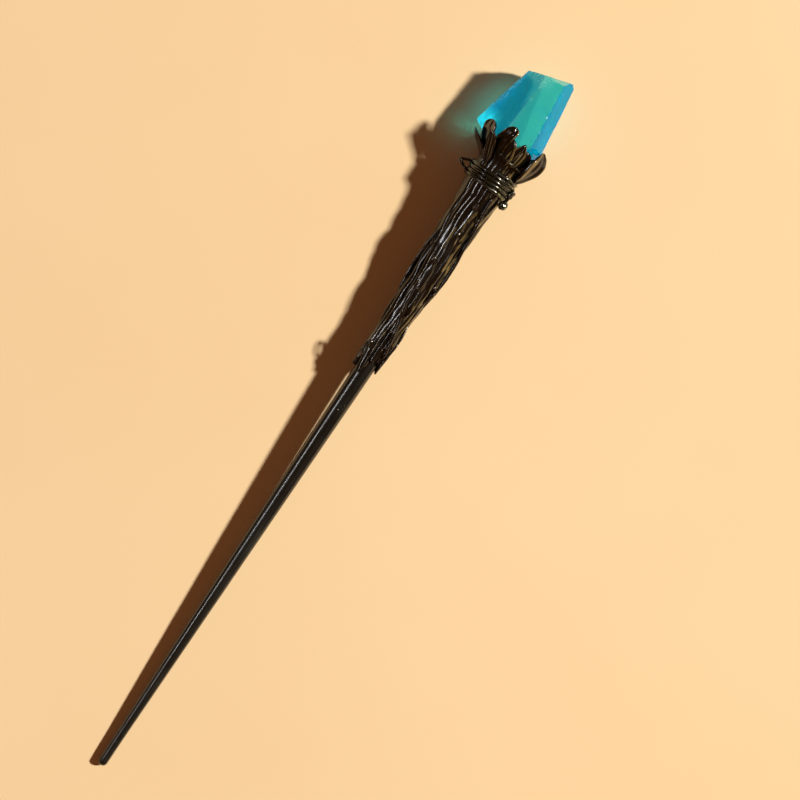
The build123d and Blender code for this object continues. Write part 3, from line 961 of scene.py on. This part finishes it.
def make_loop():
    """The pointed loop of cord that stands out on the left."""
    shell = Shell()
    places = [
        (WAIST_MIDDLE - 2.2, 84, 10.4),
        (WAIST_MIDDLE - 1.7, 85, 12.2),
        (WAIST_MIDDLE - 0.6, 86, 14.2),
        (WAIST_MIDDLE + 0.4, 86, 15.2),
        (WAIST_MIDDLE + 1.0, 86, 14.0),
        (WAIST_MIDDLE + 1.7, 86, 12.2),
        (WAIST_MIDDLE + 2.1, 86, 10.4),
    ]
    wire_through(shell, places, 0.62, 60, 0.05, 6.0)
    shell.piece("binding_loop_leaf", cord_paint, CORD_SLOT, "binding_loop")


def make_thread():
    """The thin thread that crosses the front claws."""
    shell = Shell()
    places = [
        (308.6, 18, 11.6),
        (308.4, 9, 12.6),
        (307.8, -6, 12.6),
        (307.4, -20, 12.4),
        (307.1, -34, 12.2),
        (306.8, -47, 12.0),
        (306.6, -58, 11.6),
    ]
    wire_through(shell, places, 0.3, 90, 0.05, 1.0, 8)
    shell.piece("thread_laid", cord_paint, CORD_SLOT, "thread")


# ---------------------------------------------------------------- crystal

STONE_VOXEL = 0.38 * MM
CHIP_DEPTH = 0.55
CHIP_REACH = 2.4          # how far from an edge chips bite
WAVE_DEPTH = 0.16
RIPPLE_DEPTH = 0.04
SKIN_DEPTH = 0.05         # how far the stone stays inside its block, at the least


def facets_of(mesh):
    """The stone's flat facets, as pairs of a point and a normal, and its edges between them."""
    shape = bmesh.new()
    shape.from_mesh(mesh)
    bmesh.ops.remove_doubles(shape, verts=shape.verts, dist=1e-6)
    facets, lines = [], []
    for face in shape.faces:
        normal = face.normal.copy()
        if all(normal.dot(known) < 0.9999 for _, known in facets):
            facets.append((face.calc_center_median(), normal))
    for edge in shape.edges:
        if len(edge.link_faces) == 2 and edge.calc_face_angle() > math.radians(2):
            lines.append((edge.verts[0].co.copy(), edge.verts[1].co.copy()))
    shape.free()
    return facets, lines


def soften(shape, factor):
    """Draws each point towards its neighbours."""
    bmesh.ops.smooth_vert(
        shape, verts=shape.verts, factor=factor, use_axis_x=True, use_axis_y=True, use_axis_z=True
    )


def away_from(point, lines):
    """Distance in mm from a point to the nearest of these lines."""
    nearest = 1e9
    for first, last in lines:
        way = last - first
        share = max(0.0, min(1.0, (point - first).dot(way) / way.length_squared))
        nearest = min(nearest, (point - first - way * share).length)
    return nearest / MM


def make_crystal():
    """The rough stone: flat facets with soft waves, rounded edges and bitten chips. Each point keeps how
    frosted it is, how blue it is (painted shade on the facets that lean aside), how much painted glowing
    light it has and how much painted reflection of the table it shows."""
    source = frame["nodes"]["crystal"]
    facets, lines = facets_of(source.data)
    block = bpy.data.objects.new("stone_block", source.data.copy())
    bpy.context.scene.collection.objects.link(block)
    remesh = block.modifiers.new("remesh", "REMESH")
    remesh.mode = "VOXEL"
    remesh.voxel_size = STONE_VOXEL
    made = block.evaluated_get(bpy.context.evaluated_depsgraph_get())
    mesh = bpy.data.meshes.new_from_object(made)
    bpy.data.objects.remove(block)

    shape = bmesh.new()
    shape.from_mesh(mesh)
    for _ in range(3):
        soften(shape, 0.5)
    shape.normal_update()
    frost, blue, glow, pale = [], [], [], []
    moved = []
    far_end = max((vertex.co - TIP).dot(ALONG) for vertex in shape.verts) / MM
    for vertex in shape.verts:
        x = (vertex.co - TIP).dot(ALONG) / MM
        y = (vertex.co - TIP).dot(SIDE) / MM
        away = away_from(vertex.co, lines)
        place = vertex.co / MM
        facet = min(facets, key=lambda known: abs((vertex.co - known[0]).dot(known[1])))[1]
        wave = grain(place.x / 7, place.y / 7, place.z / 7)
        ripple = grain(place.x / 2.2, place.y / 2.2, place.z / 2.2 + 5)
        bite = max(0.0, grain(place.x / 2.6 + 9, place.y / 2.6, place.z / 2.6) - 0.08)
        near = max(0.0, 1 - away / CHIP_REACH)
        left_edge = ease((y - 8) / 4) * ease((x - 320) / 6)
        depth = WAVE_DEPTH * wave + RIPPLE_DEPTH * ripple
        depth += CHIP_DEPTH * near * bite * (1.6 + 3.2 * left_edge)
        moved.append(vertex.co - vertex.normal * (max(0.0, depth + SKIN_DEPTH) * MM))
        end_patch = ease((x - far_end + 11) / 6) * ease((2 + y) / 6) * ease((11 - y) / 3)
        worn = 0.4 * ease((y + 3) / 5) + 1.3 * left_edge
        frost.append(min(1.0, near * worn * (0.5 + bite * 2) + 0.5 * end_patch))
        # Painted reflection of the table on the end facet.
        pale.append(0.75 * ease((facet.dot(ALONG) - 0.55) / 0.2) * ease((3 - y) / 4))
        # Painted shade: deeper blue on the facets that lean to either side.
        aside = facet.dot(SIDE)
        left_blue = 0.6 * ease((aside - 0.2) / 0.5) * ease((y - 2) / 4)
        blue.append(left_blue if aside > 0 else 1.5 * ease((-aside - 0.3) / 0.3))
        # Painted glowing light near the lower left, standing in for light that passes through the stone.
        glow.append(min(1.0, ease((y - 8.5) / 6) * ease((325 - x) / 8) * (0.95 + 0.7 * ripple)))
    for vertex, place in zip(shape.verts, moved):
        vertex.co = place
    soften(shape, 0.4)
    shape.to_mesh(mesh)
    shape.free()
    for label, values in (("frost", frost), ("blue", blue), ("glow", glow), ("pale", pale)):
        mesh.attributes.new(label, "FLOAT", "POINT").data.foreach_set("value", values)
    mesh.polygons.foreach_set("use_smooth", [True] * len(mesh.polygons))
    mesh.materials.clear()
    mesh.materials.append(stone)
    piece = bpy.data.objects.new("crystal_rough_stone", mesh)
    bpy.context.scene.collection.objects.link(piece)
    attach(piece, "root")
    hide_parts("crystal")


make_shaft()
make_binding()
make_knot()
make_tail()
make_loop()
make_thread()
make_crystal()
for name in ("handle_core", "crystal_bed"):
    for slot in frame["nodes"][name].material_slots:
        slot.material = filler


# ---------------------------------------------------------------- table, light and camera

TABLE_HALF = 4.0
TABLE_DROP = 0.0002       # how far the table lies under the wand's lowest point


def make_table():
    """A plain pale cream table top."""
    material, n, shader = new_finish("table_cream")
    where = n.local()
    shade = n.ramp(n.noise(where, 5.0, 3.0), 0.3, 0.7)
    n.join(n.mix(shade, (0.86, 0.70, 0.47), (0.89, 0.74, 0.52)), shader.inputs["Base Color"])
    shader.inputs["Roughness"].default_value = 0.75
    mesh = bpy.data.meshes.new("table")
    corners = [(-1, -1), (1, -1), (1, 1), (-1, 1)]
    mesh.from_pydata([(TABLE_HALF * x, TABLE_HALF * y, 0) for x, y in corners], [], [(0, 1, 2, 3)])
    mesh.materials.append(material)
    table = bpy.data.objects.new("table", mesh)
    bpy.context.scene.collection.objects.link(table)
    table.location.z = -TABLE_DROP


def area_light(name, towards, elevation, distance, size, power, colour, diffuse):
    """A soft box aimed at the handle. towards is its direction on the table, and without diffuse
    it gives only highlights."""
    flat = Vector((*towards, 0)).normalized()
    lift = math.radians(elevation)
    aim = spot(WAIST_MIDDLE - 40, 0, 0)
    place = aim + (flat * math.cos(lift) + Vector((0, 0, math.sin(lift)))) * distance
    light = bpy.data.lights.new(name, "AREA")
    light.shape = "RECTANGLE"
    light.size, light.size_y = size
    light.energy = power
    light.color = colour
    lamp = bpy.data.objects.new(name, light)
    lamp.location = place
    lamp.rotation_mode = "QUATERNION"
    lamp.rotation_quaternion = (aim - place).to_track_quat("-Z", "Y")
    lamp.visible_diffuse = diffuse
    bpy.context.scene.collection.objects.link(lamp)


# The picture's right and up, as directions on the table.
RIGHT = Vector((0.5543, -0.8323))
ABOVE = Vector((0.8323, 0.5543))


def make_lights():
    area_light("low_key", RIGHT, 39, 6.0, (0.42, 0.42), 560.0, (1.0, 0.87, 0.68), True)
    towards = -RIGHT + 0.35 * ABOVE
    area_light("left_strip", towards, 50, 1.1, (0.5, 0.026), 2.6, (0.97, 0.98, 1.0), False)
    world = bpy.data.worlds.new("room")
    world.use_nodes = True
    n = Nodes(world.node_tree)
    room = world.node_tree.nodes["Background"]
    room.inputs["Color"].default_value = (1.6, 0.58, 0.14, 1.0)
    room.inputs["Strength"].default_value = 0.08
    backdrop = n.add("ShaderNodeBackground")
    backdrop.inputs["Color"].default_value = (0.90, 0.76, 0.56, 1.0)
    seen = n.add("ShaderNodeMixShader")
    n.join(n.add("ShaderNodeLightPath").outputs["Is Camera Ray"], seen.inputs[0])
    n.join(room.outputs[0], seen.inputs[1])
    n.join(backdrop.outputs[0], seen.inputs[2])
    n.join(seen.outputs[0], world.node_tree.nodes["World Output"].inputs["Surface"])
    bpy.context.scene.world = world


SENSOR = 36.0


def make_camera():
    """Straight down, with the wand across the picture from lower left to upper right."""
    picture = 0.3374      # the width that it takes in
    distance = 2.4
    middle_x, middle_y = 198.9, -19.9   # its centre, in mm along the wand and to its side
    data = bpy.data.cameras.new("camera")
    data.sensor_width = SENSOR
    data.lens = SENSOR * distance / picture
    camera = bpy.data.objects.new("camera", data)
    centre = TIP + ALONG * (middle_x * MM) + SIDE * (middle_y * MM)
    right = Vector((RIGHT.x, RIGHT.y, 0)).normalized()
    above = Vector((0, 0, 1)).cross(right)
    turn = Matrix((right, above, Vector((0, 0, 1)))).transposed()
    camera.matrix_world = Matrix.Translation(centre + Vector((0, 0, distance))) @ turn.to_4x4()
    bpy.context.scene.collection.objects.link(camera)
    bpy.context.scene.camera = camera


make_table()
make_lights()
make_camera()
bpy.context.scene.view_settings.view_transform = "Standard"
